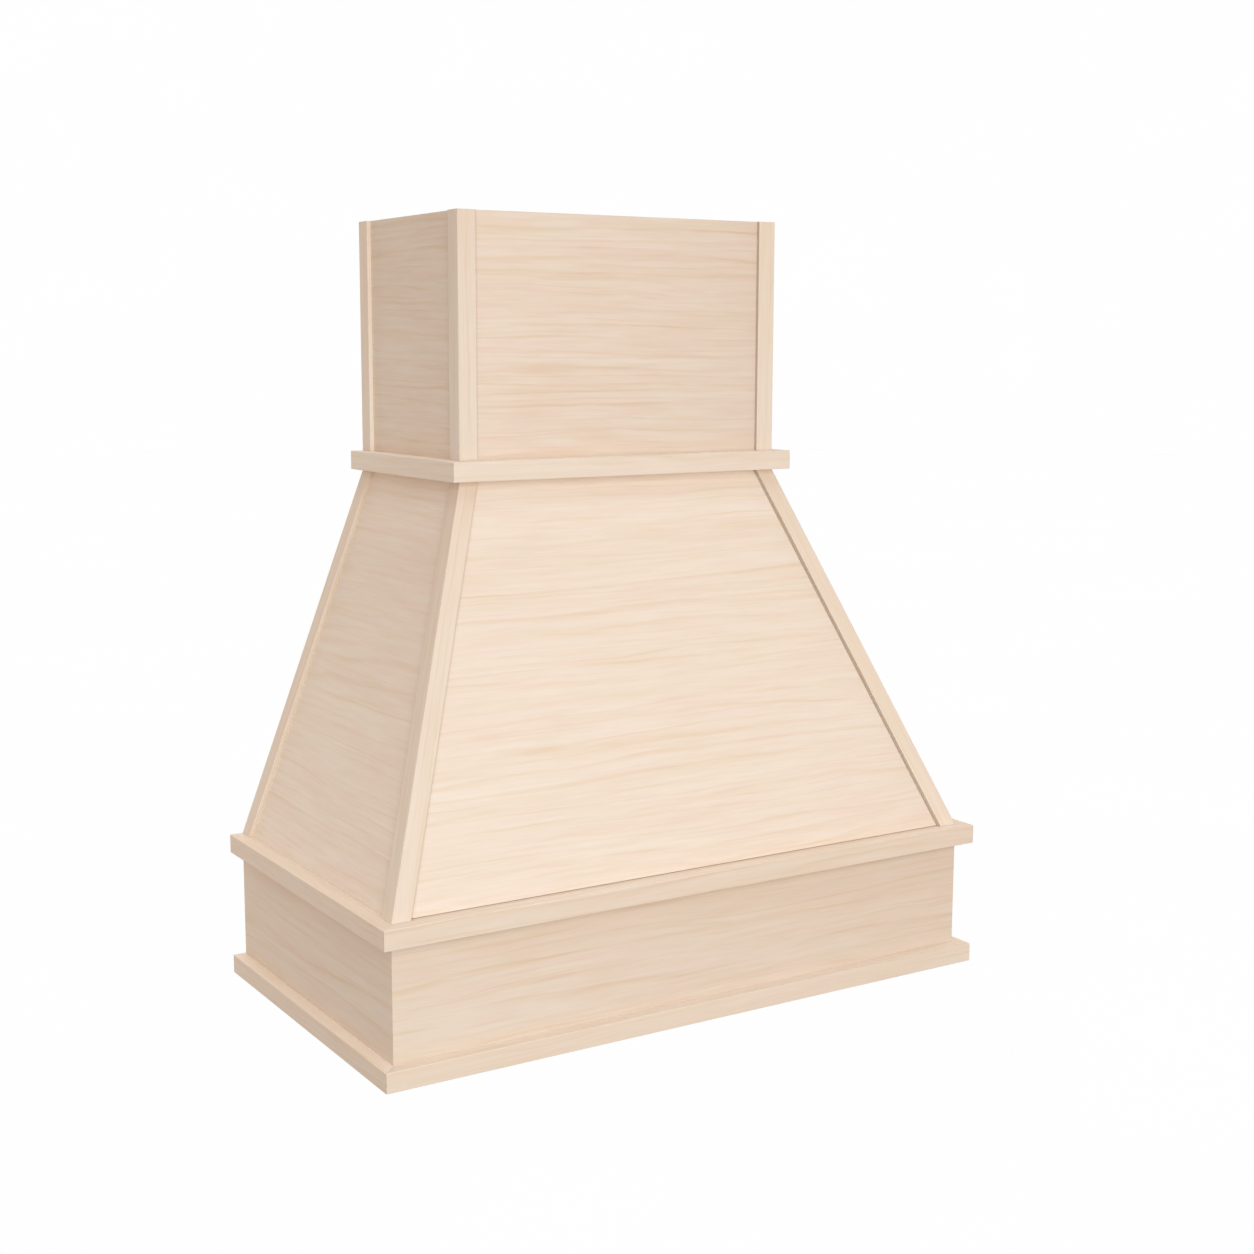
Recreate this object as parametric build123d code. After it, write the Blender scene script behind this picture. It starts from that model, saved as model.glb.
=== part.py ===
from build123d import *
import os

# Wall-hung wooden range hood cover: a fascia box with a moulding round its foot
# and a ledge round its head, a tapered body with applied corner straps, a neck
# moulding and a square chimney with straps.  Millimetres, +Z up.
# Origin: wall plane, middle of the width, underside of the cover.
# +X to the right seen from the front, +Y into the wall, the room is at -Y.

# ------------------------------------------------------------ driving sizes
WIDTH = 914.4            # outside of the fascia box, nominal 36 in
DEPTH = 500.0            # outside of the fascia box, wall to front
BAND_T = 19.0            # moulding stock, 3/4 in
BAND_H = 26.7            # moulding height, all three runs
Z_LEDGE = 180.0          # underside of the ledge moulding
Z_NECK = 726.5           # underside of the neck moulding
HEIGHT = 1080.0          # overall
CHIM_W = 514.0           # chimney over its straps
CHIM_D = 306.0           # chimney over its straps
STRAP_W = 27.5
FRONT_STRAP_W = 25.8     # up the front slope, measured in that slope
STRAP_T = 6.0            # straps stand this proud of the panels
FASCIA_T = 19.0          # fascia boards
PANEL_T = 12.0           # plywood of taper and chimney
EASE = 0.7               # sanded arris on every exposed long edge

PANEL_GAP = 1.2          # reveal at the sides of the access panel
PANEL_FOOT_GAP = 0.6     # reveal at its foot and head
PANEL_BACK_GAP = 0.4     # between its back and the stops

RAIL_T = 19.0            # frame stock
RAIL_H = 38.0
SILL_T = 22.0
NECK_RAIL_H = 45.0
CLEAT_Z = 38.0           # underside of the liner cleats, the liner's seat
REAR_RAIL_H = 89.0
STUD_PITCH = 406.4       # wall studs at 16 in
WALL_HOLE_R = 3.0
WALL_HOLE_DZ = 45.0
LINER_HOLE_R = 1.5
LINER_HOLE_DX = 600.0
HIP_T = 22.0             # thickness of the hip cleats behind the stiles
HIP_LAP = 14.0           # how far they lap behind the access panel
REAR_STILE_W = 28.0

MAGNET_R, MAGNET_T = 6.0, 4.0
STRIKE_R, STRIKE_T = 8.0, 1.5
POCKET_FIT = 0.1
SCREW_R, SCREW_HEAD_R, SCREW_HEAD_H = 2.0, 4.0, 2.6

# ---------------------------------------------------------- derived heights
HW = WIDTH / 2
CW = CHIM_W / 2
Z3 = Z_LEDGE + BAND_H            # ledge top, foot of the taper
Z4 = Z_NECK                      # head of the taper
Z5 = Z_NECK + BAND_H             # top of the neck moulding
IN_F = DEPTH - FASCIA_T          # inside face of the front fascia, as -Y
IN_X = HW - FASCIA_T             # inside faces of the side fascias
CP = CW - STRAP_T                # chimney panel faces
CPD = CHIM_D - STRAP_T
CI = CP - PANEL_T                # inside of the chimney panels
CID = CPD - PANEL_T

os.makedirs("parts", exist_ok=True)
made = {}


def keep(name, *solids):
    """Collect the solids of one named piece, or of one group of like pieces."""
    made[name] = list(solids)


# A bounding plane is (outward unit normal, offset): material lies where n.p <= c.
def face(normal, point):
    n = Vector(*normal).normalized()
    return (n, n.dot(Vector(*point)))


def inset(p, depth):
    return (p[0], p[1] - depth)


def back(p, depth=0.0):
    """The same plane seen from the other side, moved in by depth first."""
    return (p[0] * -1, -(p[1] - depth))


def ease(p, q, leg=EASE):
    """Flat arris taken off the edge where two outward faces meet."""
    n = p[0] + q[0]
    return (n.normalized(), (p[1] + q[1] - leg) / n.length)


def board(*planes):
    """A board sawn to the given planes, out of stock larger than the hood."""
    stock = Pos(0, -DEPTH / 2, HEIGHT / 2) * Box(1400, 1000, 1500)
    for n, c in planes:
        stock = stock.split(Plane(origin=n * c, z_dir=n), keep=Keep.BOTTOM)
    solid = stock.solids()[0]
    return solid


def up(z):
    return face((0, 0, 1), (0, 0, z))


def down(z):
    return face((0, 0, -1), (0, 0, z))


def fore(y):
    return face((0, -1, 0), (0, y, 0))


def aft(y):
    return face((0, 1, 0), (0, y, 0))


def out(s, x):
    """Plane at s*x that faces outwards on side s (-1 left, +1 right)."""
    return face((s, 0, 0), (s * x, 0, 0))


def inn(s, x):
    return face((-s, 0, 0), (s * x, 0, 0))


SIDES = ((-1, "left"), (1, "right"))


def corner_mitre(s, x, y):
    """Upright 45 degree mitre through the outer corner (s*x, y), facing away
    from the front piece."""
    return face((s, 1, 0), (s * x, y, 0))


# ------------------------------------------------------------- fascia box
def wrap(prefix, t, x, d, z0, z1, arrises=True):
    """Front and two side members of one run, mitred at the front corners and
    ending square on the wall."""
    front = [fore(-d), aft(-d + t), up(z1), down(z0)]
    mitres = [corner_mitre(s, x, -d) for s, _ in SIDES]
    eased = []
    if arrises:
        eased = [ease(fore(-d), up(z1)), ease(fore(-d), down(z0))]
        eased += [ease(fore(-d), out(s, x)) for s, _ in SIDES]
    keep(prefix + "_front", board(*front, *mitres, *eased))
    for (s, side), m in zip(SIDES, mitres):
        planes = [out(s, x), inn(s, x - t), up(z1), down(z0), aft(0), back(m)]
        if arrises:
            planes += [ease(out(s, x), up(z1)), ease(out(s, x), down(z0))]
            planes += [ease(out(s, x), fore(-d))]
        keep(prefix + "_" + side, board(*planes))


wrap("apron", FASCIA_T, HW, DEPTH, 0, Z3, arrises=False)
wrap("bottom_band", BAND_T, HW + BAND_T, DEPTH + BAND_T, 0, BAND_H)
wrap("ledge_band", BAND_T, HW + BAND_T, DEPTH + BAND_T, Z_LEDGE, Z3)

# lower wall rail across the back of the fascia box, with two wall screw holes
rail = board(out(1, IN_X), out(-1, IN_X), aft(0), fore(-RAIL_T), down(0),
             up(REAR_RAIL_H))
for x in (-STUD_PITCH / 2, STUD_PITCH / 2):
    rail -= Pos(x, -RAIL_T / 2, REAR_RAIL_H / 2) * Rot(90, 0, 0) * Cylinder(
        WALL_HOLE_R, RAIL_T + 2)
keep("base_rear_rail", rail.solids()[0])

# cleats that carry the liner; pilot holes in the front and rear ones
C0, C1 = CLEAT_Z, CLEAT_Z + RAIL_H
LINER_Y0, LINER_Y1 = -IN_F + RAIL_T / 2, -RAIL_T * 1.5
front_cleat = board(out(1, IN_X), out(-1, IN_X), fore(-IN_F), aft(-IN_F + RAIL_T),
                    down(C0), up(C1))
rear_cleat = board(out(1, IN_X), out(-1, IN_X), fore(-2 * RAIL_T), aft(-RAIL_T),
                   down(C0), up(C1))
pilots = [
    Pos(x, y, (C0 + C1) / 2) * Cylinder(LINER_HOLE_R, RAIL_H + 2)
    for x in (-LINER_HOLE_DX / 2, LINER_HOLE_DX / 2) for y in (LINER_Y0, LINER_Y1)
]
for pilot in pilots:
    front_cleat -= pilot
    rear_cleat -= pilot
keep("liner_cleat_front", front_cleat.solids()[0])
keep("liner_cleat_rear", rear_cleat.solids()[0])
for s, side in SIDES:
    keep("liner_cleat_" + side,
         board(out(s, IN_X), inn(s, IN_X - RAIL_T), fore(-IN_F + RAIL_T),
               aft(-2 * RAIL_T), down(C0), up(C1)))

# ------------------------------------------------------------ tapered body
RISE = Z4 - Z3
FRONT = face((0, -RISE, DEPTH - CHIM_D), (0, -DEPTH, Z3))          # over the straps


def side_slope(s):
    return face((s * RISE, 0, HW - CW), (s * HW, 0, Z3))


def hip(s):
    """Foot corner, direction up the hip, and the directions across it that lie
    in the front slope (towards the middle) and in the side slope (to the wall)."""
    foot = Vector(s * HW, -DEPTH, Z3)
    run = (Vector(s * CW, -CHIM_D, Z4) - foot).normalized()
    over = FRONT[0].cross(run)
    if over.X * s > 0:
        over = over * -1
    rear = side_slope(s)[0].cross(run)
    if rear.Y < 0:
        rear = rear * -1
    return foot, run, over, rear


def hip_mitre(s):
    """Plane through the hip that halves the angle of the two slopes, facing
    away from the front members."""
    foot = hip(s)[0]
    return face(tuple(side_slope(s)[0] - FRONT[0]), tuple(foot))


UNDER = STRAP_T + PANEL_T
for s, side in SIDES:
    foot, run, over, rear = hip(s)
    slope, mitre = side_slope(s), hip_mitre(s)
    edge_front = face(tuple(over), tuple(foot + over * FRONT_STRAP_W))
    edge_side = face(tuple(rear), tuple(foot + rear * STRAP_W))
    corner = ease(FRONT, slope)
    # straps
    keep("taper_front_strap_" + side,
         board(FRONT, back(FRONT, STRAP_T), mitre, edge_front, down(Z3), up(Z4),
               ease(FRONT, edge_front), corner))
    keep("taper_side_front_strap_" + side,
         board(slope, back(slope, STRAP_T), back(mitre), edge_side, down(Z3), up(Z4),
               ease(slope, edge_side), corner))
    wall_edge = fore(-STRAP_W)
    keep("taper_side_rear_strap_" + side,
         board(slope, back(slope, STRAP_T), aft(0), wall_edge, down(Z3), up(Z4),
               ease(slope, wall_edge)))
    # side panel, and the stile that fills the same layer under the front strap
    keep("taper_side_panel_" + side,
         board(inset(slope, STRAP_T), back(slope, UNDER), aft(0), back(mitre),
               down(Z3), up(Z4)))
    keep("front_stile_" + side,
         board(inset(FRONT, STRAP_T), back(FRONT, UNDER), mitre, edge_front,
               down(Z3), up(Z4)))
    # cleat in the angle behind them, which laps behind the access panel as a stop
    stop_edge = face(tuple(over), tuple(foot + over * (FRONT_STRAP_W + HIP_LAP)))
    keep("hip_cleat_" + side,
         board(inset(FRONT, UNDER), back(FRONT, UNDER + HIP_T), inset(slope, UNDER),
               stop_edge, down(Z3), up(Z4)))
    # nailing strip up the rear edge of the side panel, against the wall
    keep("rear_stile_" + side,
         board(inset(slope, UNDER), back(slope, UNDER + REAR_STILE_W), aft(0),
               fore(-RAIL_T), down(Z3), up(Z4)))
    # sill cleat along the inside of the fascia, and corner block below the hip
    block_x = IN_X - 31.0
    keep("side_sill_cleat_" + side,
         board(out(s, IN_X), inn(s, IN_X - SILL_T), fore(-IN_F + 24.0), aft(0),
               down(Z3 - RAIL_H), up(Z3)))
    made.setdefault("apron_corner_blocks", []).append(
        board(out(s, IN_X), inn(s, block_x), fore(-IN_F), aft(-IN_F + 24.0),
              down(C1), up(Z3)))

# stops across the foot and the head of the access panel, bevelled to the slope
ends = []
for s, side in SIDES:
    foot, run, over, rear = hip(s)
    ends.append(back(face(tuple(over), tuple(foot + over * (FRONT_STRAP_W + HIP_LAP)))))
SILL_TOP = Z3 + 24.0
sill = board(out(1, block_x), out(-1, block_x), fore(-IN_F), aft(-IN_F + SILL_T),
             inset(FRONT, UNDER), down(Z3 - RAIL_H), up(SILL_TOP), *ends)
head = board(inset(FRONT, UNDER), back(FRONT, UNDER + HIP_T), down(Z4 - RAIL_H),
             up(Z4), *ends)

# the access panel: laid in between the stiles, square edges, drawn straight out
grips = []
for s, side in SIDES:
    foot, run, over, rear = hip(s)
    grips.append(back(face(tuple(over), tuple(foot + over * (FRONT_STRAP_W + PANEL_GAP)))))
panel_face = inset(FRONT, STRAP_T)
panel = board(panel_face, back(FRONT, UNDER - PANEL_BACK_GAP),
              down(Z3 + PANEL_FOOT_GAP), up(Z4 - PANEL_FOOT_GAP), *grips,
              *[ease(panel_face, g, 0.4) for g in grips])


def disc(x, z, depth, radius, thick):
    """Disc square to the front slope on the axis that leaves the stop face at
    x, z; its front face lies depth below the straps, and it goes inwards."""
    n, c = inset(FRONT, UNDER)
    spot = Vector(x, (c - n.X * x - n.Z * z) / n.Y, z)
    seat = Plane(origin=spot + n * (UNDER - depth - thick), z_dir=n)
    return Solid.make_cylinder(radius, thick, seat)


SPOTS = [(-250.0, Z3 + 12.5), (250.0, Z3 + 12.5),
         (-120.0, Z4 - RAIL_H / 2), (120.0, Z4 - RAIL_H / 2)]
magnets, strikes = [], []
for x, z in SPOTS:
    magnets.append(disc(x, z, UNDER, MAGNET_R, MAGNET_T))
    pocket = disc(x, z, UNDER - 0.5, MAGNET_R + POCKET_FIT, MAGNET_T + POCKET_FIT + 0.5)
    sill, head = sill - pocket, head - pocket
    back_face = UNDER - PANEL_BACK_GAP
    strikes.append(disc(x, z, back_face - STRIKE_T, STRIKE_R, STRIKE_T))
    recess = disc(x, z, back_face - STRIKE_T - POCKET_FIT, STRIKE_R + POCKET_FIT,
                  STRIKE_T + POCKET_FIT + 1.0)
    panel -= recess
keep("panel_sill_rail", sill.solids()[0])
keep("panel_head_rail", head.solids()[0])
keep("front_access_panel", panel.solids()[0])
keep("panel_magnets", *magnets)
keep("panel_strike_plates", *strikes)

# ------------------------------------------------------------------ chimney
c_front = fore(-CHIM_D)
for s, side in SIDES:
    c_side = out(s, CW)
    m = corner_mitre(s, CW, -CHIM_D)
    inner = inn(s, CW - STRAP_W)
    rearward = aft(-CHIM_D + STRAP_W)
    arris = ease(c_front, c_side)
    keep("chimney_front_strap_" + side,
         board(c_front, back(c_front, STRAP_T), m, inner, down(Z5), up(HEIGHT),
               ease(c_front, inner), arris))
    keep("chimney_side_front_strap_" + side,
         board(c_side, back(c_side, STRAP_T), back(m), rearward, down(Z5), up(HEIGHT),
               ease(c_side, rearward), arris))
    wall_edge = fore(-STRAP_W)
    keep("chimney_side_rear_strap_" + side,
         board(c_side, back(c_side, STRAP_T), aft(0), wall_edge, down(Z5), up(HEIGHT),
               ease(c_side, wall_edge)))
    keep("chimney_side_panel_" + side,
         board(out(s, CP), inn(s, CI), aft(0), back(m), down(Z4), up(HEIGHT)))
    made.setdefault("chimney_corner_blocks", []).append(
        board(out(s, CI), inn(s, CI - RAIL_T), fore(-CID), aft(-CID + RAIL_T),
              down(Z4 + NECK_RAIL_H), up(HEIGHT - RAIL_H)))
    for name, z0, z1 in (("neck_rail_", Z4, Z4 + NECK_RAIL_H),
                         ("top_rail_", HEIGHT - RAIL_H, HEIGHT)):
        keep(name + side,
             board(out(s, CI), inn(s, CI - RAIL_T), fore(-CID + RAIL_T), aft(-RAIL_T),
                   down(z0), up(z1)))
keep("chimney_front_panel",
     board(fore(-CPD), aft(-CID), down(Z4), up(HEIGHT),
           *[corner_mitre(s, CW, -CHIM_D) for s, _ in SIDES]))
for name, z0, z1 in (("neck_rail_front", Z4, Z4 + NECK_RAIL_H),
                     ("top_rail_front", HEIGHT - RAIL_H, HEIGHT)):
    keep(name, board(out(1, CI), out(-1, CI), fore(-CID), aft(-CID + RAIL_T),
                     down(z0), up(z1)))
keep("top_rail_rear", board(out(1, CI), out(-1, CI), fore(-RAIL_T), aft(0),
                            down(HEIGHT - RAIL_H), up(HEIGHT)))

# upper wall rail behind the neck, with the four screw holes the hood hangs by
upper = board(out(1, CI), out(-1, CI), fore(-RAIL_T), aft(0), down(Z4),
              up(Z4 + REAR_RAIL_H))
for x in (-STUD_PITCH / 2, STUD_PITCH / 2):
    for dz in (-WALL_HOLE_DZ / 2, WALL_HOLE_DZ / 2):
        upper -= Pos(x, -RAIL_T / 2, Z4 + REAR_RAIL_H / 2 + dz) * Rot(90, 0, 0) * Cylinder(
            WALL_HOLE_R, RAIL_T + 2)
keep("upper_wall_rail", upper.solids()[0])

# neck moulding: bedded on the chimney panels, so it is thicker by the strap
wrap("neck_band", BAND_T + STRAP_T, CW + BAND_T, CHIM_D + BAND_T, Z4, Z5)


# ----------------------------------------------------------- frame screws
def screw(point, direction, length):
    """Countersunk wood screw, head flush at point, driven along direction."""
    d = Vector(*direction).normalized()
    seat = Plane(origin=Vector(*point), z_dir=d)
    cone = Solid.make_cone(SCREW_HEAD_R, SCREW_R, SCREW_HEAD_H, seat)
    shank_at = Plane(origin=Vector(*point) + d * SCREW_HEAD_H, z_dir=d)
    tip_h = 4.0
    shank = Solid.make_cylinder(SCREW_R, length - SCREW_HEAD_H - tip_h, shank_at)
    tip_at = Plane(origin=Vector(*point) + d * (length - tip_h), z_dir=d)
    tip = Solid.make_cone(SCREW_R, 0.4, tip_h, tip_at)
    recess_at = Plane(origin=Vector(*point) - d * 0.01, z_dir=d)
    recess = Solid.make_cone(1.7, 0.9, 1.6, recess_at)
    body = (cone + shank + tip) - recess
    return body.solids()[0]


screws = []
zc = (C0 + C1) / 2
zs = Z3 - RAIL_H / 2
for x in (-350.0, 0.0, 350.0):       # clear of the liner's pilot holes
    screws.append(screw((x, -IN_F + RAIL_T, zc), (0, -1, 0), 32))
    screws.append(screw((x, -2 * RAIL_T, zc), (0, 1, 0), 32))
    screws.append(screw((x, -IN_F + SILL_T, zs), (0, -1, 0), 32))
for s, side in SIDES:
    for y in (-380.0, -120.0):
        screws.append(screw((s * (IN_X - RAIL_T), y, zc), (s, 0, 0), 32))
        screws.append(screw((s * (IN_X - SILL_T), y, zs), (s, 0, 0), 32))
    for z in (Z4 + NECK_RAIL_H / 2, HEIGHT - RAIL_H / 2):
        screws.append(screw((s * 120.0, -CID + RAIL_T, z), (0, -1, 0), 25))
        screws.append(screw((s * (CI - RAIL_T), -144.0, z), (s, 0, 0), 25))
    foot, run, over, rear = hip(s)
    for share in (0.2, 0.5, 0.8):
        p = foot + (Vector(s * CW, -CHIM_D, Z4) - foot) * share
        p = p + over * 22.0 - FRONT[0] * (UNDER + HIP_T)
        screws.append(screw(tuple(p), tuple(FRONT[0]), 30))
keep("frame_screws", *screws)

# -------------------------------------------------------------------- write
for name, solids in sorted(made.items()):
    shape = solids[0] if len(solids) == 1 else Compound(children=solids)
    shape.label = name
    export_step(shape, "parts/" + name + ".step")
print(len(made), "pieces written")
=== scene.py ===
import math

import bpy
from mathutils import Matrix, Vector

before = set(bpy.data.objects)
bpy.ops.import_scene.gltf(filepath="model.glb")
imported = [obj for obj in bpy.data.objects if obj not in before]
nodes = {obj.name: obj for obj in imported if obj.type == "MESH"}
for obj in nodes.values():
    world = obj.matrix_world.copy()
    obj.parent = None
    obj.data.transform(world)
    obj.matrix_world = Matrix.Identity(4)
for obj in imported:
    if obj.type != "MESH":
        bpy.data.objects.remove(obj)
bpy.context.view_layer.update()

scene = bpy.context.scene

# ------------------------------------------------------------------ camera
FRAME_PX = 1254.0
FOCAL_PX = 1832.218
YAW, PITCH = 0.547637, -0.144944
POINT_PX = (588.106, 614.286)          # where the optical axis meets the picture
cam_data = bpy.data.cameras.new("camera")
cam_data.sensor_fit = "HORIZONTAL"
cam_data.sensor_width = 36.0
cam_data.lens = 36.0 * FOCAL_PX / FRAME_PX
cam_data.shift_x = 0.5 - POINT_PX[0] / FRAME_PX
cam_data.shift_y = POINT_PX[1] / FRAME_PX - 0.5
cam_data.clip_start, cam_data.clip_end = 0.05, 120.0
camera = bpy.data.objects.new("camera", cam_data)
scene.collection.objects.link(camera)
camera.location = (-1.372912, -2.462075, 0.902656)
camera.rotation_euler = (math.pi / 2 + PITCH, 0.0, -YAW)
scene.camera = camera

scene.view_settings.view_transform = "Standard"
scene.view_settings.look = "None"
scene.view_settings.exposure = 0.0
scene.view_settings.gamma = 1.0


# ------------------------------------------------- small node-tree helpers
class Tree:
    """Adds shader nodes by short calls; sockets, numbers and tuples are all taken as inputs."""

    def __init__(self, tree):
        self.t = tree

    def node(self, kind, **props):
        n = self.t.nodes.new(kind)
        for key, value in props.items():
            setattr(n, key, value)
        return n

    def put(self, socket, value):
        if isinstance(value, bpy.types.NodeSocket):
            self.t.links.new(value, socket)
        elif value is not None:
            socket.default_value = value

    def math(self, op, a, b=None, c=None, clamp=False):
        n = self.node("ShaderNodeMath", operation=op, use_clamp=clamp)
        for socket, value in zip(n.inputs, (a, b, c)):
            self.put(socket, value)
        return n.outputs[0]

    def add(self, *terms):
        total = terms[0]
        for term in terms[1:]:
            total = self.math("ADD", total, term)
        return total

    def mul(self, a, b):
        return self.math("MULTIPLY", a, b)

    def dot(self, a, b):
        n = self.node("ShaderNodeVectorMath", operation="DOT_PRODUCT")
        self.put(n.inputs[0], a)
        self.put(n.inputs[1], b)
        return n.outputs["Value"]

    def vec(self, x, y, z):
        n = self.node("ShaderNodeCombineXYZ")
        for socket, value in zip(n.inputs, (x, y, z)):
            self.put(socket, value)
        return n.outputs[0]

    def noise(self, vector, scale=1.0, detail=2.0, rough=0.5, distort=0.0):
        n = self.node("ShaderNodeTexNoise", noise_dimensions="3D")
        self.put(n.inputs["Vector"], vector)
        self.put(n.inputs["Scale"], scale)
        self.put(n.inputs["Detail"], detail)
        self.put(n.inputs["Roughness"], rough)
        self.put(n.inputs["Distortion"], distort)
        return n.outputs["Fac"]

    def ramp(self, value, low, high, to_low=0.0, to_high=1.0, smooth=True):
        n = self.node("ShaderNodeMapRange", clamp=True,
                      interpolation_type="SMOOTHSTEP" if smooth else "LINEAR")
        for socket, v in zip(n.inputs, (value, low, high, to_low, to_high)):
            self.put(socket, v)
        return n.outputs[0]

    def mix(self, fac, a, b, blend="MIX"):
        n = self.node("ShaderNodeMix", data_type="RGBA", blend_type=blend)
        self.put(n.inputs["Factor"], fac)
        self.put(n.inputs[6], a)
        self.put(n.inputs[7], b)
        return n.outputs[2]

    def lerp(self, fac, a, b):
        n = self.node("ShaderNodeMix", data_type="FLOAT")
        self.put(n.inputs["Factor"], fac)
        self.put(n.inputs[2], a)
        self.put(n.inputs[3], b)
        return n.outputs[0]


def group(name, inputs, outputs):
    g = bpy.data.node_groups.new(name, "ShaderNodeTree")
    for label, kind in inputs:
        g.interface.new_socket(name=label, in_out="INPUT", socket_type="NodeSocket" + kind)
    for label, kind in outputs:
        g.interface.new_socket(name=label, in_out="OUTPUT", socket_type="NodeSocket" + kind)
    return g, Tree(g), g.nodes.new("NodeGroupInput").outputs, g.nodes.new("NodeGroupOutput").inputs


def grey(v):
    return (v, v, v, 1.0)


# ------------------------------------------------------------- wood pattern
# Metres.  u runs along the grain, v across it in the face, w through the thickness.
WOOD, t, gi, go = group(
    "wood",
    [("Along", "Vector"), ("Across", "Vector"), ("Through", "Vector"), ("Shift", "Vector"),
     ("Light", "Color"), ("Dark", "Color"), ("Streak", "Float"), ("Lines", "Float"),
     ("Tilt", "Float"), ("Ply", "Float"), ("Face", "Float"), ("Thick", "Float")],
    [("Color", "Color"), ("Roughness", "Float"), ("Height", "Float")])

coord = t.node("ShaderNodeTexCoord")
place, facing = coord.outputs["Object"], coord.outputs["Normal"]
shift = t.node("ShaderNodeSeparateXYZ")
t.put(shift.inputs[0], gi["Shift"])
u0 = t.dot(place, gi["Along"])
v0 = t.dot(place, gi["Across"])
w0 = t.dot(place, gi["Through"])
u = t.add(u0, shift.outputs[0])
v = t.add(v0, shift.outputs[1])
w = t.add(w0, shift.outputs[2])

# slow wander of the grain
wander = t.noise(t.vec(t.mul(u, 1.7), t.mul(v, 6.0), t.mul(w, 6.0)), 1.0, 1.5, 0.5)
sway = t.mul(t.math("SUBTRACT", wander, 0.5), 0.022)
ripple = t.noise(t.vec(t.mul(u, 9.0), t.mul(v, 30.0), t.mul(w, 30.0)), 1.0, 1.5, 0.5)
sway = t.add(sway, t.mul(t.math("SUBTRACT", ripple, 0.5), 0.0052))
v1, w1 = t.add(v, sway), t.add(w, sway)
face_v = t.add(v1, t.mul(w1, gi["Tilt"]))


def ring_lines(spacing_k, bend_k, bend_amount, start, peak, along_k, along_low, along_high, least, seed):
    """Thin dark lines along the grain: each has a strength of its own and fades in and out."""
    bend = t.noise(t.vec(t.mul(u, 2.1), t.mul(v1, bend_k), t.add(t.mul(w1, bend_k), seed)), 1.0, 1.0, 0.45)
    ring = t.add(t.mul(face_v, t.mul(gi["Lines"], spacing_k)), t.mul(bend, bend_amount), seed)
    phase = t.math("FRACT", ring)
    body = t.mul(t.ramp(phase, start, peak), t.ramp(phase, peak, 1.0, 1.0, 0.0))
    own = t.node("ShaderNodeTexWhiteNoise", noise_dimensions="1D")
    t.put(own.inputs["W"], t.math("FLOOR", ring))
    strength = t.add(0.35, t.mul(own.outputs["Value"], 0.85))
    fade = t.noise(t.vec(t.mul(u, along_k), t.mul(v1, bend_k * 1.3), t.add(t.mul(w1, bend_k * 1.3), seed + 7.0)),
                   1.0, 2.0, 0.6)
    return t.mul(t.mul(body, strength), t.ramp(fade, along_low, along_high, least, 1.0))


line = ring_lines(1.0, 30.0, 2.0, 0.66, 0.90, 4.0, 0.34, 0.68, 0.25, 0.0)
fine = ring_lines(2.3, 50.0, 2.2, 0.58, 0.86, 6.0, 0.36, 0.66, 0.12, 3.3)

# cloudy patches, streaks, fibre and short flecks
patch = t.noise(t.vec(t.mul(u, 3.0), t.mul(v1, 42.0), t.mul(w1, 42.0)), 1.0, 2.0, 0.5)
streaks = t.noise(t.vec(t.mul(u, 10.0), t.mul(v1, 150.0), t.mul(w1, 150.0)), 1.0, 2.5, 0.58)
fibre = t.noise(t.vec(t.mul(u, 40.0), t.mul(v, 700.0), t.mul(w, 700.0)), 1.0, 2.5, 0.62)
fleck = t.noise(t.vec(t.mul(u, 120.0), t.mul(v, 1300.0), t.mul(w, 1300.0)), 1.0, 1.0, 0.5)
fleck = t.ramp(fleck, 0.63, 0.76)

tone = t.add(0.20,
             t.mul(t.math("SUBTRACT", patch, 0.5), 0.70),
             t.mul(line, 0.62),
             t.mul(fine, 0.50),
             t.mul(t.math("SUBTRACT", streaks, 0.5), 1.15),
             t.mul(t.math("SUBTRACT", fibre, 0.5), 0.42),
             t.mul(fleck, 0.10))
tone = t.add(0.36, t.mul(t.math("SUBTRACT", tone, 0.36), gi["Streak"]))

# end grain where a face looks along the grain
across_fibre = t.math("ABSOLUTE", t.dot(facing, gi["Along"]))
end = t.ramp(across_fibre, 0.62, 0.80)
pores = t.noise(t.vec(t.mul(u, 40.0), t.mul(v, 900.0), t.mul(w, 900.0)), 1.0, 2.0, 0.6)
end_tone = t.add(0.95, t.mul(line, 0.8), t.mul(t.math("SUBTRACT", pores, 0.5), 1.1),
                 t.mul(t.math("SUBTRACT", shift.outputs[0], 1.8), 0.45))
end = t.mul(end, t.math("SUBTRACT", 1.0, gi["Ply"]))
tone = t.lerp(end, tone, end_tone)

# plies on the edges of plywood: seven, with the face veneers along the grain
depth = t.math("DIVIDE", t.math("SUBTRACT", w0, gi["Face"]), gi["Thick"])
depth = t.add(depth, t.mul(t.math("SUBTRACT", t.noise(t.vec(t.mul(u, 14.0), t.mul(v, 14.0), 0.0), 1.0, 1.0), 0.5), 0.05))
layer = t.mul(t.math("ABSOLUTE", depth), 3.5)
cross = t.ramp(t.math("PINGPONG", t.add(layer, 0.5), 0.5), 0.22, 0.28)
glue = t.ramp(t.math("PINGPONG", t.mul(t.math("ABSOLUTE", depth), 7.0), 0.5), 0.0, 0.07, 1.0, 0.0)
edge_grit = t.noise(t.vec(t.mul(u, 500.0), t.mul(v, 500.0), t.mul(w, 700.0)), 1.0, 2.0, 0.6)
ply_tone = t.add(t.mul(cross, 0.85), t.mul(glue, 0.8),
                 t.mul(t.math("SUBTRACT", edge_grit, 0.5), 0.9), 0.55)
on_edge = t.ramp(t.math("ABSOLUTE", t.dot(facing, gi["Through"])), 0.45, 0.62, 1.0, 0.0)
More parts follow.
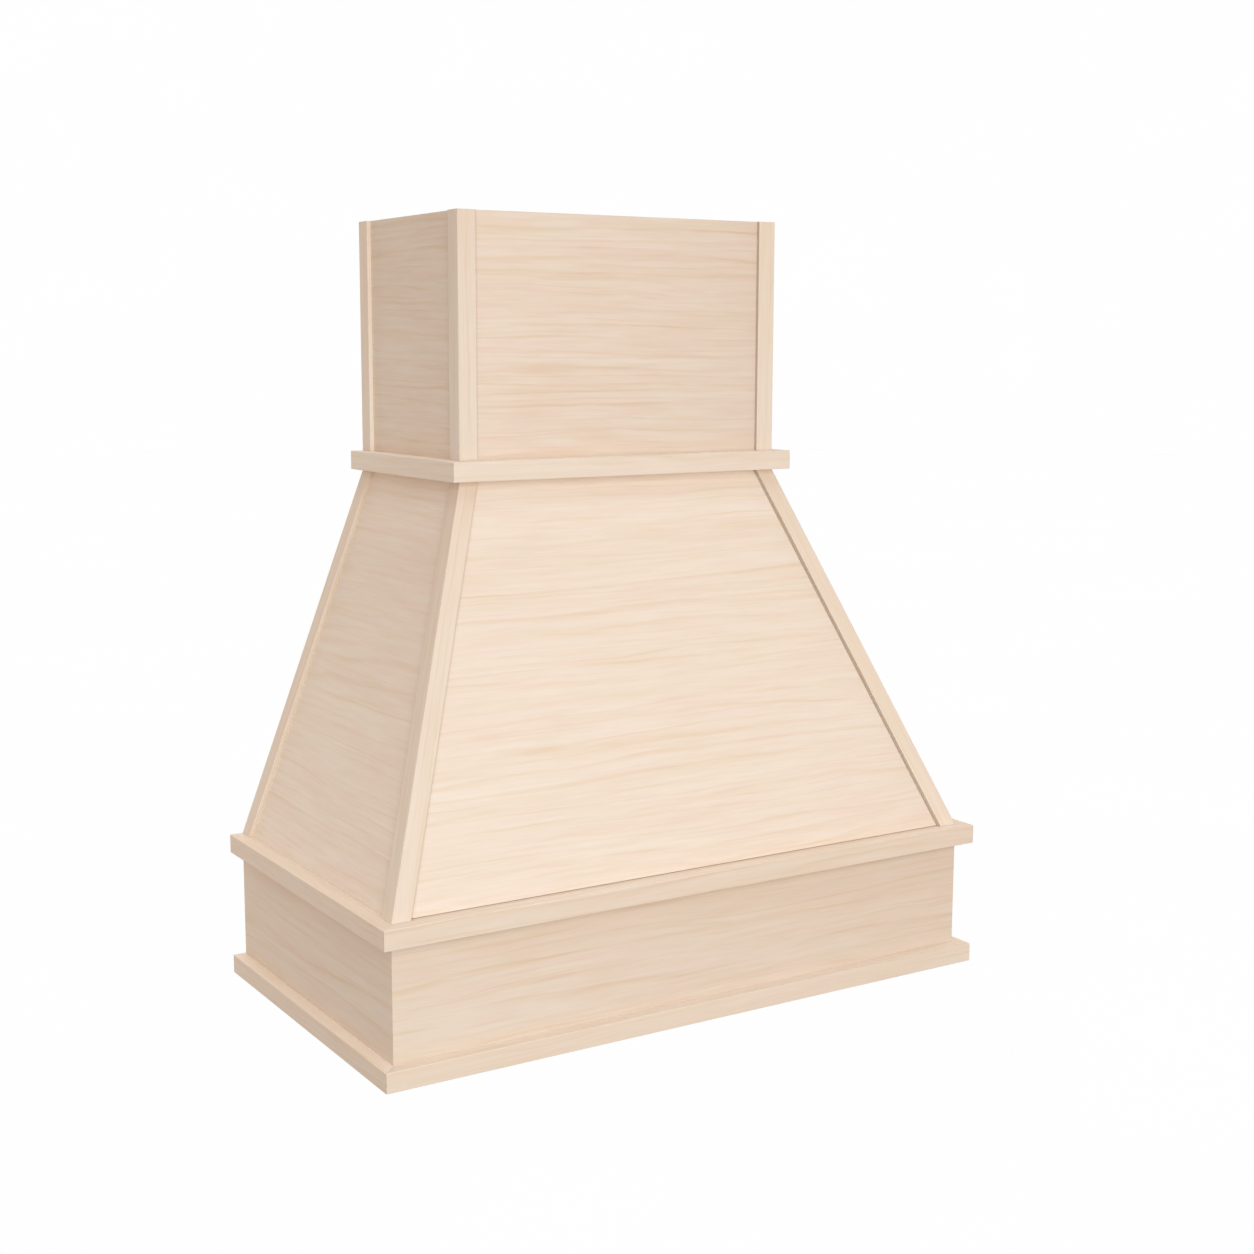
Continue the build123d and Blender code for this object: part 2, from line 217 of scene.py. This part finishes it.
on_edge = t.mul(on_edge, gi["Ply"])
tone = t.lerp(on_edge, tone, ply_tone)

colour = t.mix(tone, gi["Light"], gi["Dark"])
# the mix is allowed to run past its two colours, so that lines can be deeper than Dark
colour.node.clamp_factor = False
# beside the grain colour, the face drifts a little in brightness and from rosy to straw
drift = t.math("SUBTRACT", t.noise(t.vec(t.mul(u, 14.0), t.mul(v1, 95.0), t.mul(w1, 95.0)), 1.0, 2.0, 0.55), 0.5)
rosy = t.math("SUBTRACT", t.noise(t.vec(t.mul(u, 9.0), t.mul(v1, 60.0), t.add(t.mul(w1, 60.0), 5.0)), 1.0, 2.0, 0.5), 0.5)
colour = t.mix(1.0, colour, t.vec(t.add(1.0, t.mul(drift, 0.055), t.mul(rosy, 0.027)),
                                  t.add(1.0, t.mul(drift, 0.050), t.mul(rosy, -0.054)),
                                  t.add(1.0, t.mul(drift, 0.045), t.mul(rosy, 0.020))), "MULTIPLY")
t.put(go["Color"], colour)
rough = t.add(0.58, t.mul(t.math("SUBTRACT", fibre, 0.5), 0.16),
              t.mul(t.math("SUBTRACT", patch, 0.5), 0.10), t.mul(end, 0.12), t.mul(on_edge, 0.12))
t.put(go["Roughness"], t.math("MINIMUM", rough, 0.9))
height = t.add(t.mul(fibre, 0.55), t.mul(line, -0.25), t.mul(fleck, -0.5),
               t.mul(end, t.mul(pores, 0.9)), t.mul(on_edge, t.mul(edge_grit, 0.9)),
               t.mul(on_edge, t.mul(glue, -0.6)))
t.put(go["Height"], height)


def srgb(r, g, b):
    def one(c):
        c /= 255.0
        return c / 12.92 if c <= 0.04045 else ((c + 0.055) / 1.055) ** 2.4
    return (one(r), one(g), one(b), 1.0)


def scaled(colour, k):
    k = (k, k, k) if isinstance(k, (int, float)) else k
    return tuple(c * f for c, f in zip(colour[:3], k)) + (1.0,)


MAPLE = srgb(229.0, 210.0, 190.5)           # middle tone of the sanded maple
LIGHT_K = (1.019, 1.037, 1.060)
DARK_K = (0.957, 0.897, 0.825)
TIMBER = srgb(214.0, 189.0, 155.0)


def wood_material(name, along, across, through, number, middle=MAPLE, tone_and_light=1.0, streak=1.0,
                  lines=45.0, tilt=0.5, ply=None, crevice=0.18, faces=(), fades=()):
    m = bpy.data.materials.new(name)
    m.use_nodes = True
    nt = m.node_tree
    nt.nodes.clear()
    s = Tree(nt)
    g = s.node("ShaderNodeGroup", node_tree=WOOD)
    g.inputs["Along"].default_value = along
    g.inputs["Across"].default_value = across
    g.inputs["Through"].default_value = through
    # every board has its own stretch of the pattern
    a, b, c = (math.fmod(number * k, 1.0) for k in (0.6180340, 0.7548777, 0.5698403))
    g.inputs["Shift"].default_value = (0.5 + 2.6 * a, 0.4 + 2.2 * b, 0.3 + 1.5 * c)
    base = scaled(middle, tone_and_light)
    g.inputs["Light"].default_value = scaled(base, LIGHT_K)
    g.inputs["Dark"].default_value = scaled(base, DARK_K)
    g.inputs["Streak"].default_value = streak
    g.inputs["Lines"].default_value = lines
    g.inputs["Tilt"].default_value = tilt
    g.inputs["Ply"].default_value = 0.0 if ply is None else 1.0
    g.inputs["Face"].default_value = 0.0 if ply is None else ply[0]
    g.inputs["Thick"].default_value = 1.0 if ply is None else ply[1]
    shader = s.node("ShaderNodeBsdfPrincipled")
    out = s.node("ShaderNodeOutputMaterial")
    nt.links.new(shader.outputs[0], out.inputs["Surface"])
    shader.inputs["IOR"].default_value = 1.45
    shader.inputs["Specular IOR Level"].default_value = 0.35
    # painted shade: ambient occlusion darkens the colour towards brown right in the inner corners where two boards
    # meet
    corner = s.node("ShaderNodeAmbientOcclusion", samples=6)
    corner.inputs["Distance"].default_value = 0.0016
    shade_in_corners = s.ramp(corner.outputs["AO"], 0.30, 0.80, crevice, 0.0)
    colour_and_painted_light = s.mix(shade_in_corners, g.outputs["Color"], scaled(base, (0.55, 0.45, 0.35)))
    for way, factor in faces:
        # painted light and shade: a fitted factor makes the faces that look this way paler or darker, see the table
        # of faces below
        looks = s.ramp(s.dot(s.node("ShaderNodeTexCoord").outputs["Normal"], tuple(way)), 0.70, 0.95)
        colour_and_painted_light = s.mix(looks, colour_and_painted_light, tuple(factor) + (1.0,), "MULTIPLY")
    for axis, start, end, first, last, way in fades:
        # painted light and shade: a fitted factor that runs along this axis makes one end of the board paler or
        # darker than the other, see FADES
        reach = s.ramp(s.dot(s.node("ShaderNodeTexCoord").outputs["Object"], tuple(axis)), start, end, smooth=False)
        shade = s.mix(reach, tuple(first) + (1.0,), tuple(last) + (1.0,))
        if way is not None:
            looks = s.ramp(s.dot(s.node("ShaderNodeTexCoord").outputs["Normal"], tuple(way)), 0.70, 0.95)
            shade = s.mix(looks, grey(1.0), shade)
        colour_and_painted_light = s.mix(1.0, colour_and_painted_light, shade, "MULTIPLY")
    s.put(shader.inputs["Base Color"], colour_and_painted_light)
    s.put(shader.inputs["Roughness"], g.outputs["Roughness"])
    bump = s.node("ShaderNodeBump")
    bump.inputs["Strength"].default_value = 0.30
    bump.inputs["Distance"].default_value = 0.00016
    s.put(bump.inputs["Height"], g.outputs["Height"])
    s.put(shader.inputs["Normal"], bump.outputs[0])
    return m


def metal_material(name, colour, rough, scratch_scale, spread, spots=0.0):
    m = bpy.data.materials.new(name)
    m.use_nodes = True
    nt = m.node_tree
    nt.nodes.clear()
    s = Tree(nt)
    c = s.node("ShaderNodeTexCoord")
    cloud = s.noise(c.outputs["Object"], 260.0, 3.0, 0.6)
    scratch = s.noise(s.vec(s.mul(s.dot(c.outputs["Object"], (1, 0, 0)), scratch_scale),
                            s.mul(s.dot(c.outputs["Object"], (0, 1, 0)), scratch_scale),
                            s.mul(s.dot(c.outputs["Object"], (0, 0, 1)), scratch_scale * 14.0)),
                      1.0, 2.0, 0.6)
    grime = s.ramp(cloud, 0.52, 0.72, 0.0, 0.35 + spots)
    s_colour = s.mix(grime, colour, scaled(colour, (0.62, 0.58, 0.52)))
    shader = s.node("ShaderNodeBsdfPrincipled")
    out = s.node("ShaderNodeOutputMaterial")
    nt.links.new(shader.outputs[0], out.inputs["Surface"])
    shader.inputs["Metallic"].default_value = 1.0
    s.put(shader.inputs["Base Color"], s_colour)
    s.put(shader.inputs["Roughness"],
          s.add(rough, s.mul(s.math("SUBTRACT", scratch, 0.5), spread), s.mul(grime, 0.25)))
    bump = s.node("ShaderNodeBump")
    bump.inputs["Strength"].default_value = 0.25
    bump.inputs["Distance"].default_value = 0.00005
    s.put(bump.inputs["Height"], s.add(scratch, s.mul(cloud, 0.5)))
    s.put(shader.inputs["Normal"], bump.outputs[0])
    return m


# --------------------------------------------------------- grain directions
X, Y, Z = Vector((1, 0, 0)), Vector((0, 1, 0)), Vector((0, 0, 1))
FOOT = Vector((0.4572, -0.5, 0.2067))
HEAD = Vector((0.257, -0.306, 0.7265))
FRONT_N = Vector((0, -(HEAD.z - FOOT.z), FOOT.x * 0 + (-FOOT.y + HEAD.y))).normalized()
FRONT_UP = Vector((0, HEAD.y - FOOT.y, HEAD.z - FOOT.z)).normalized()


def mirrored(s, vector):
    return Vector((vector.x * s, vector.y, vector.z))


def side_frame(s):
    normal = Vector((HEAD.z - FOOT.z, 0, FOOT.x - HEAD.x)).normalized()
    rising = Vector((HEAD.x - FOOT.x, 0, HEAD.z - FOOT.z)).normalized()
    return mirrored(s, normal), mirrored(s, rising)


def hip_run(s):
    return mirrored(s, (HEAD - FOOT).normalized())


def frame_of(name):
    """Along, across and through directions of the grain of a board."""
    s = -1 if "left" in name else 1
    normal, rising = side_frame(s)
    run = hip_run(s)
    if name == "front_access_panel" or name == "panel_head_rail":
        return X, FRONT_UP, FRONT_N
    if name.startswith("taper_side_panel"):
        return Y, rising, normal
    if name.startswith(("taper_front_strap", "front_stile", "hip_cleat")):
        return run, FRONT_N.cross(run), FRONT_N
    if name.startswith("taper_side_front_strap"):
        return run, normal.cross(run), normal
    if name.startswith(("taper_side_rear_strap", "rear_stile")):
        return rising, Y, normal
    if name.startswith("chimney_front_strap"):
        return Z, X, Y
    if name.startswith(("chimney_side_front_strap", "chimney_side_rear_strap")):
        return Z, Y, X
    if name.endswith("corner_blocks"):
        return Z, X, Y
    if name.endswith(("left", "right")):
        return Y, Z, X
    return X, Z, Y


# --------------------------------------------------------------- materials
PLY = ("front_access_panel", "front_stile", "taper_side_panel", "chimney_front_panel",
       "chimney_side_panel")
METAL = {
    "frame_screws": metal_material("zinc_plated_steel", (0.62, 0.62, 0.60, 1), 0.34, 700.0, 0.3),
    "panel_strike_plates": metal_material("zinc_plated_strike", (0.60, 0.60, 0.58, 1), 0.38, 500.0, 0.35, 0.1),
    "panel_magnets": metal_material("nickel_plate", (0.66, 0.64, 0.60, 1), 0.20, 900.0, 0.2),
}
# The three tables below are factors on the wood's colour: for a whole board, for its faces that look one way,
# and along it. Each was fitted so that the lit tone of a whole face, or of its two ends, comes out as in the
# photograph; so they hold the boards' own differences and also painted light and shade, which these lights don't
# give by themselves.
BOARD_TONE_AND_LIGHT = {
    "apron_left": (1.049, 1.077, 1.100), "apron_right": (1.049, 1.077, 1.100),
    "apron_front": (1.010, 1.015, 1.020),
    "chimney_side_panel": (0.952, 0.953, 0.953),
    "chimney_front_strap_right": (1.072, 1.076, 1.075),
    "chimney_side_front_strap": (0.950, 0.951, 0.961),
    "chimney_side_rear_strap": (1.028, 1.031, 1.039),
    "taper_front_strap_left": (0.990, 1.000, 1.005),
    "taper_front_strap_right": (1.081, 1.091, 1.086),
    "taper_side_front_strap": (0.972, 0.970, 0.967),
    "taper_side_rear_strap": (1.060, 1.075, 1.095),
    "front_access_panel": (0.980, 0.977, 0.977),
    "ledge_band_front": (0.992, 0.990, 0.985),
    "bottom_band_front": (1.000, 0.995, 0.985),
    "neck_band_front": (1.008, 1.012, 1.018),
}
INNER_EDGE = FRONT_N.cross(hip_run(1))
if INNER_EDGE.x > 0:
    INNER_EDGE = -INNER_EDGE
# painted light and shade by facing: the tops of the mouldings made paler as highlights, the inner edges of the
# right straps and the front edges of the rear straps made darker as shade
FACE_PAINTED_LIGHT = (
    ("chimney_front_strap_right", -X, (0.595, 0.59, 0.605)),
    ("chimney_side_rear_strap", -Y, (0.965, 0.975, 0.965)),
    ("taper_front_strap_right", INNER_EDGE, (0.655, 0.665, 0.69)),
    ("taper_side_rear_strap", -Y, (0.82, 0.82, 0.80)),
    ("neck_band_front", Z, (1.06, 1.12, 1.18)),
    ("neck_band_left", Z, (1.15, 1.24, 1.32)), ("neck_band_right", Z, (1.15, 1.24, 1.32)),
    ("ledge_band_front", Z, (1.045, 1.08, 1.13)),
    ("ledge_band_left", Z, (1.045, 1.045, 1.035)), ("ledge_band_right", Z, (1.045, 1.045, 1.035)),
    ("bottom_band_front", Z, (0.985, 1.022, 1.062)),
    ("bottom_band_left", Z, (1.10, 1.115, 1.117)), ("bottom_band_right", Z, (1.10, 1.115, 1.117)),
)
# painted light and shade along a board, such as a foot paler than its head. Start of the board's name, axis, from,
# to (metres), the first and the last factor, and the only way that the faces concerned look, or None for all of
# them
FADES = (
    ("taper_side_panel", Z, 0.24, 0.69, (1.058, 1.070, 1.078), (0.942, 0.922, 0.907), None),
    ("taper_side_panel", Z, 0.625, 0.685, (1.0, 1.0, 1.0), (1.070, 1.090, 1.118), None),
    ("taper_side_panel", Y, -0.42, -0.02, (0.932, 0.916, 0.910), (1.022, 1.026, 1.028), None),
    ("taper_side_front_strap", Z, 0.2067, 0.7265, (1.038, 1.072, 1.104), (0.969, 0.953, 0.942), None),
    ("taper_side_rear_strap", Z, 0.2067, 0.7265, (1.050, 1.072, 1.100), (0.960, 0.947, 0.930), None),
    ("taper_front_strap_left", Z, 0.2067, 0.7265, (0.994, 1.018, 1.034), (1.004, 0.997, 0.992), None),
    ("taper_front_strap_right", Z, 0.2067, 0.7265, (1.043, 1.060, 1.080), (0.966, 0.959, 0.953), None),
    ("front_access_panel", Z, 0.2067, 0.7265, (1.006, 1.014, 1.023), (0.984, 0.977, 0.972), None),
    ("front_access_panel", Z, 0.64, 0.70, (1.0, 1.0, 1.0), (1.052, 1.072, 1.092), None),
    ("front_access_panel", X, -0.34, 0.34, (0.976, 0.976, 0.972), (1.052, 1.050, 1.047), None),
    ("chimney_side_panel", Z, 0.7532, 1.08, (1.028, 1.033, 1.048), (0.970, 0.962, 0.950), None),
    ("chimney_side_panel", Y, -0.27, -0.03, (0.980, 0.980, 0.979), (1.030, 1.034, 1.038), None),
    ("chimney_side_front_strap", Z, 0.7532, 1.08, (1.034, 1.058, 1.088), (0.965, 0.965, 0.947), None),
    ("chimney_side_rear_strap", Z, 0.7532, 1.08, (1.020, 1.045, 1.086), (0.995, 0.986, 0.962), None),
    ("chimney_front_strap_left", Z, 0.7532, 1.08, (1.020, 1.043, 1.052), (0.978, 0.967, 0.953), None),
    ("chimney_front_strap_right", Z, 0.7532, 1.08, (1.017, 1.038, 1.068), (0.993, 0.986, 0.968), None),
    ("chimney_front_panel", Z, 0.7532, 1.08, (1.006, 1.016, 1.028), (0.988, 0.986, 0.986), None),
    ("apron_front", X, -0.457, 0.457, (0.972, 0.984, 0.990), (1.036, 1.032, 1.030), None),
    ("apron_front", Z, 0.045, 0.145, (1.010, 1.022, 1.034), (0.991, 0.979, 0.967), None),
    ("apron_left", Y, -0.5, 0.0, (0.930, 0.918, 0.912), (1.058, 1.070, 1.077), -X),
    ("apron_right", Y, -0.5, 0.0, (0.930, 0.918, 0.912), (1.058, 1.070, 1.077), X),
    ("apron_left", Z, 0.045, 0.145, (0.998, 1.010, 1.022), (0.996, 0.984, 0.972), None),
    ("apron_right", Z, 0.045, 0.145, (0.998, 1.010, 1.022), (0.996, 0.984, 0.972), None),
    ("bottom_band_front", X, -0.476, 0.476, (0.945, 0.934, 0.915), (1.056, 1.058, 1.060), -Y),
    ("bottom_band_left", Y, -0.5, 0.0, (0.945, 0.935, 0.937), (1.064, 1.084, 1.103), -X),
    ("bottom_band_right", Y, -0.5, 0.0, (0.945, 0.935, 0.937), (1.064, 1.084, 1.103), X),
    ("ledge_band_front", X, -0.476, 0.476, (0.930, 0.935, 0.930), (1.045, 1.030, 1.026), -Y),
    ("ledge_band_left", Y, -0.5, 0.0, (0.935, 0.921, 0.915), (1.060, 1.071, 1.088), -X),
    ("ledge_band_right", Y, -0.5, 0.0, (0.935, 0.921, 0.915), (1.060, 1.071, 1.088), X),
    ("neck_band_front", X, -0.276, 0.276, (0.970, 0.971, 0.970), (1.032, 1.033, 1.034), -Y),
    ("neck_band_left", Y, -0.306, 0.0, (0.938, 0.945, 0.947), (1.040, 1.050, 1.062), -X),
    ("neck_band_right", Y, -0.306, 0.0, (0.938, 0.945, 0.947), (1.040, 1.050, 1.062), X),
)
number = 0
for name in sorted(nodes):
    node = nodes[name]
    if name in METAL:
        material = METAL[name]
    else:
        number += 1
        along, across, through = frame_of(name)
        ply = None
        if name.startswith(PLY):
            # the outer face is the corner of the box furthest along the outward normal
            reach = [Vector(v.co).dot(through) for v in node.data.vertices]
            outward = max(reach) if name.startswith(("front", "taper")) else (
                min(reach) if name == "chimney_front_panel" or name.endswith("left") else max(reach))
            thick = -0.012 if outward == max(reach) else 0.012
            ply = (outward, abs(thick))
        options = dict(streak=1.12, lines=45.0, tilt=0.5, tone_and_light=1.0)
        if any(k in name for k in ("_rail", "cleat", "block")) or name.startswith("rear_stile"):
            options.update(middle=TIMBER, streak=1.5, lines=120.0, tilt=0.8)
            options["tone_and_light"] = 0.94 + 0.10 * math.fmod(number * 0.6180340, 1.0)
        elif "strap" in name:
            options.update(streak=0.85, lines=70.0, tilt=0.6)
            options["tone_and_light"] = (1.0, 1.004, 0.995) if name.startswith("taper") else (0.994, 1.012, 1.018)
        elif "band" in name:
            options.update(streak=0.95, lines=60.0, tilt=0.7)
            options["tone_and_light"] = ((1.04, 1.063, 1.08) if name.startswith("neck") else
                               (1.047, 1.064, 1.076) if name.startswith("ledge") else (1.043, 1.063, 1.078))
        elif name.startswith(("front_access", "taper_side_panel", "front_stile")):
            options["tone_and_light"] = (1.085, 1.122, 1.150)     # a paler sheet than the fascia's, and painted light for these faces that lean back towards the light from above
            options["streak"] = 1.06
        elif name.startswith("chimney"):
            options["streak"] = 1.29                    # the livelier sheet of the top box
        # calmer boards, and less painted shade in the inner corners of the joints, on the two sides
        if name.startswith("taper_side_panel"):
            options.update(lines=34.0, streak=1.02, crevice=0.08)
        elif name.startswith(("apron_left", "apron_right")):
            options.update(lines=28.0, streak=1.04, crevice=0.12)
        elif name.startswith(("ledge_band_left", "ledge_band_right")):
            options["crevice"] = 0.08
        for start, own in BOARD_TONE_AND_LIGHT.items():
            if name.startswith(start):
                before = options["tone_and_light"]
                before = (before, before, before) if isinstance(before, float) else before
                options["tone_and_light"] = tuple(a * b for a, b in zip(before, own))
        options["faces"] = [(way, factor) for start, way, factor in FACE_PAINTED_LIGHT if name.startswith(start)]
        options["fades"] = [rest for start, *rest in FADES if name.startswith(start)]
        material = wood_material("wood_" + name, along, across, through, number, ply=ply, **options)
    node.data.materials.clear()
    node.data.materials.append(material)

# ------------------------------------------------------------ eased edges
DRILLED = ("base_rear_rail", "front_access_panel", "liner_cleat_front", "liner_cleat_rear", "panel_head_rail",
           "panel_sill_rail", "upper_wall_rail")


def mark_arrises(mesh, outward=None):
    """Marks the long sharp edges of a drilled board; the rims of its holes stay as cut.
    With outward given, only the edges of the face that looks that way."""
    reach = [v.co.dot(outward) if outward else 0.0 for v in mesh.vertices]
    outer = max(reach) - 0.0002
    place_of = [tuple(round(c * 1e5) for c in v.co) for v in mesh.vertices]
    sides = {}
    for face in mesh.polygons:
        loop = list(face.vertices)
        for a, b in zip(loop, loop[1:] + loop[:1]):
            sides.setdefault(frozenset((place_of[a], place_of[b])), []).append(face.normal.copy())
    weight = mesh.attributes.new("bevel_weight_edge", "FLOAT", "EDGE")
    for edge in mesh.edges:
        a, b = edge.vertices
        normals = sides.get(frozenset((place_of[a], place_of[b])), ())
        length = (mesh.vertices[a].co - mesh.vertices[b].co).length
        sharp = len(normals) == 2 and normals[0].angle(normals[1], 0.0) > math.radians(28)
        on_face = reach[a] >= outer and reach[b] >= outer
        weight.data[edge.index].value = 1.0 if sharp and length > 0.003 and on_face else 0.0


for name, node in nodes.items():
    if name in METAL:
        continue
    weld = node.modifiers.new("weld", "WELD")
    weld.merge_threshold = 0.00002
    bevel = node.modifiers.new("arris", "BEVEL")
    bevel.width = 0.00035
    bevel.segments = 2
    if name in DRILLED:
        mark_arrises(node.data, FRONT_N if name == "front_access_panel" else None)
        bevel.limit_method = "WEIGHT"
    else:
        bevel.limit_method = "ANGLE"
        bevel.angle_limit = math.radians(28)
    bevel.use_clamp_overlap = True
    bevel.harden_normals = True

# ------------------------------------------------------------- light, floor
world = bpy.data.worlds.new("studio")
scene.world = world
world.use_nodes = True
sky = world.node_tree.nodes["Background"]
w = Tree(world.node_tree)
heading = w.node("ShaderNodeSeparateXYZ")
w.put(heading.inputs[0], w.node("ShaderNodeTexCoord").outputs["Generated"])
downward = w.math("MAXIMUM", w.mul(heading.outputs[2], -1.0), 0.0)
# a warm room all round, and the cooler light that a pale floor sends back up
ROOM = (0.451, 0.368, 0.313, 1.0)
FLOOR_GLOW = (0.364, 0.466, 0.507, 1.0)
w.put(sky.inputs["Color"], w.mix(downward, ROOM, FLOOR_GLOW, "ADD"))
sky.inputs["Strength"].default_value = 1.0


def softbox(name, direction, distance, size, power, colour, target=(0.0, -0.3, 0.5)):
    d = Vector(direction).normalized()
    data = bpy.data.lights.new(name, "AREA")
    data.shape = "SQUARE"
    data.size = size
    data.energy = power
    data.color = colour
    lamp = bpy.data.objects.new(name, data)
    scene.collection.objects.link(lamp)
    lamp.location = Vector(target) + d * distance
    lamp.rotation_euler = d.to_track_quat("Z", "Y").to_euler()
    lamp.visible_camera = False
    return lamp


def toward(azimuth, elevation):
    """Unit vector towards a lamp; azimuth in degrees, to the left of straight in front."""
    a, e = math.radians(azimuth), math.radians(elevation)
    return (-math.sin(a) * math.cos(e), -math.cos(a) * math.cos(e), math.sin(e))


key = softbox("key_softbox", toward(28, 12), 3.0, 2.2, 57.6, (0.891, 0.948, 1.0))
right_fill = softbox("right_fill", toward(-100, 15), 3.0, 2.4, 27.0, (1.0, 0.97, 0.94))
rear_fill = softbox("rear_fill", toward(180, 15), 3.0, 2.4, 27.0, (1.0, 0.97, 0.94))
top_data = bpy.data.lights.new("top_light", "SUN")
top_data.energy = 0.785
top_data.color = (0.783, 0.899, 1.0)
top_data.angle = math.radians(40)
top_light = bpy.data.objects.new("top_light", top_data)
scene.collection.objects.link(top_light)
top_light.rotation_euler = Vector(toward(16, 75)).to_track_quat("Z", "Y").to_euler()


def white(name, strength):
    m = bpy.data.materials.new(name)
    m.use_nodes = True
    nt = m.node_tree
    nt.nodes.clear()
    s = Tree(nt)
    glow = s.node("ShaderNodeEmission")
    out = s.node("ShaderNodeOutputMaterial")
    c = s.node("ShaderNodeTexCoord")
    cloud = s.noise(c.outputs["Object"], 0.8, 2.0, 0.5)
    s.put(glow.inputs["Color"], s.mix(cloud, grey(0.99), grey(1.0)))
    glow.inputs["Strength"].default_value = strength
    nt.links.new(glow.outputs[0], out.inputs["Surface"])
    return m


def flat_disc(name, radius, z, sides=96):
    mesh = bpy.data.meshes.new(name)
    ring = [(radius * math.cos(2 * math.pi * k / sides), radius * math.sin(2 * math.pi * k / sides), z)
            for k in range(sides)]
    mesh.from_pydata(ring, [], [tuple(range(sides))])
    obj = bpy.data.objects.new(name, mesh)
    scene.collection.objects.link(obj)
    return obj


def dome(name, radius, z, sides=64, rows=20):
    verts, faces = [], []
    for r in range(rows + 1):
        angle = math.pi / 2 * r / rows
        for k in range(sides):
            a = 2 * math.pi * k / sides
            verts.append((radius * math.cos(angle) * math.cos(a), radius * math.cos(angle) * math.sin(a),
                          z + radius * math.sin(angle)))
    for r in range(rows):
        for k in range(sides):
            n = (k + 1) % sides
            faces.append((r * sides + k, r * sides + n, (r + 1) * sides + n, (r + 1) * sides + k))
    mesh = bpy.data.meshes.new(name)
    mesh.from_pydata(verts, [], faces)
    obj = bpy.data.objects.new(name, mesh)
    scene.collection.objects.link(obj)
    return obj


FLOOR_Z = -0.9
floor = flat_disc("floor", 30.0, FLOOR_Z)
backdrop = dome("backdrop", 30.0, FLOOR_Z)
for piece in (floor, backdrop):
    piece.data.materials.append(white(piece.name + "_white", 0.997))
    # seen by the camera only: the object is lit by the studio sky and the softbox
    piece.visible_diffuse = piece.visible_glossy = piece.visible_transmission = False
    piece.visible_volume_scatter = piece.visible_shadow = False
